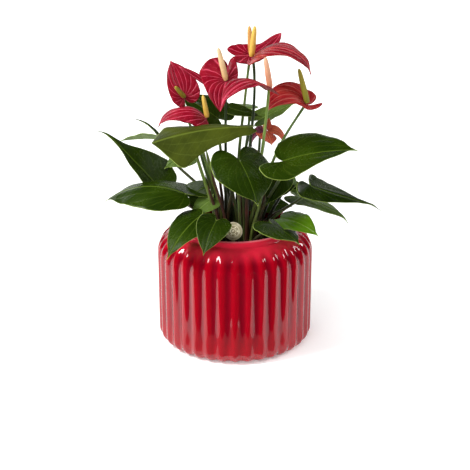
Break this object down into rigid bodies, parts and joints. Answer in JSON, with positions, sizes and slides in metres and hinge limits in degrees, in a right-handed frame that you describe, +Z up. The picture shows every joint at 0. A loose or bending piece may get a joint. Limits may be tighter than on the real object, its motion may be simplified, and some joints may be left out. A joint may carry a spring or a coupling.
{
  "type": "potted anthurium",
  "caption": "Flowering anthurium with heart-shaped glossy leaves and veined red spathes, growing from soil in a fluted glazed cover pot with a round plant tag.",
  "frame": {"origin": "centre of the cover pot's flat underside, where it rests", "axes": "+Z up through the middle of the pot, -Y towards the front of the plant, where the tag stands, +X to the right seen from the front"},
  "size_m": [0.3234, 0.1985, 0.3689],
  "materials": {
    "pot_glaze": "gloss",
    "grow_pot_plastic": "matte",
    "potting_soil": "matte",
    "crown_fibre": "matte",
    "tag_card": "matte",
    "tag_stake": "matte",
    "leaf_green": "satin",
    "petiole_green": "satin",
    "spathe_red": "gloss",
    "spadix_yellow": "matte",
    "flower_stem_green": "satin"
  },
  "bodies": {
    "root": {"cover_pot": "pot_glaze", "grow_pot": "grow_pot_plastic", "potting_soil": "potting_soil", "plant_crown": "crown_fibre", "tag_disc": "tag_card", "tag_stake": "tag_stake", "leaf_01_blade": "leaf_green", "leaf_01_petiole": "petiole_green", "leaf_02_blade": "leaf_green", "leaf_02_petiole": "petiole_green", "leaf_03_blade": "leaf_green", "leaf_03_petiole": "petiole_green", "leaf_04_blade": "leaf_green", "leaf_04_petiole": "petiole_green", "leaf_05_blade": "leaf_green", "leaf_05_petiole": "petiole_green", "leaf_06_blade": "leaf_green", "leaf_06_petiole": "petiole_green", "leaf_07_blade": "leaf_green", "leaf_07_petiole": "petiole_green", "leaf_08_blade": "leaf_green", "leaf_08_petiole": "petiole_green", "leaf_09_blade": "leaf_green", "leaf_09_petiole": "petiole_green", "leaf_10_blade": "leaf_green", "leaf_10_petiole": "petiole_green", "leaf_11_blade": "leaf_green", "leaf_11_petiole": "petiole_green", "leaf_12_blade": "leaf_green", "leaf_12_petiole": "petiole_green", "leaf_13_blade": "leaf_green", "leaf_13_petiole": "petiole_green", "leaf_14_blade": "leaf_green", "leaf_14_petiole": "petiole_green", "leaf_15_blade": "leaf_green", "leaf_15_petiole": "petiole_green", "flower_1_spathe": "spathe_red", "flower_1_spadix": "spadix_yellow", "flower_1_stem": "flower_stem_green", "flower_2_spathe": "spathe_red", "flower_2_spadix": "spadix_yellow", "flower_2_stem": "flower_stem_green", "flower_3_spathe": "spathe_red", "flower_3_spadix": "spadix_yellow", "flower_3_stem": "flower_stem_green", "flower_4_spathe": "spathe_red", "flower_4_spadix": "spadix_yellow", "flower_4_stem": "flower_stem_green", "flower_5_spathe": "spathe_red", "flower_5_spadix": "spadix_yellow", "flower_5_stem": "flower_stem_green", "flower_6_spathe": "spathe_red", "flower_6_spadix": "spadix_yellow", "flower_6_stem": "flower_stem_green", "flower_7_spathe": "spathe_red", "flower_7_spadix": "spadix_yellow", "flower_7_stem": "flower_stem_green", "flower_8_spathe": "spathe_red", "flower_8_spadix": "spadix_yellow", "flower_8_stem": "flower_stem_green"}
  },
  "joints": []
}
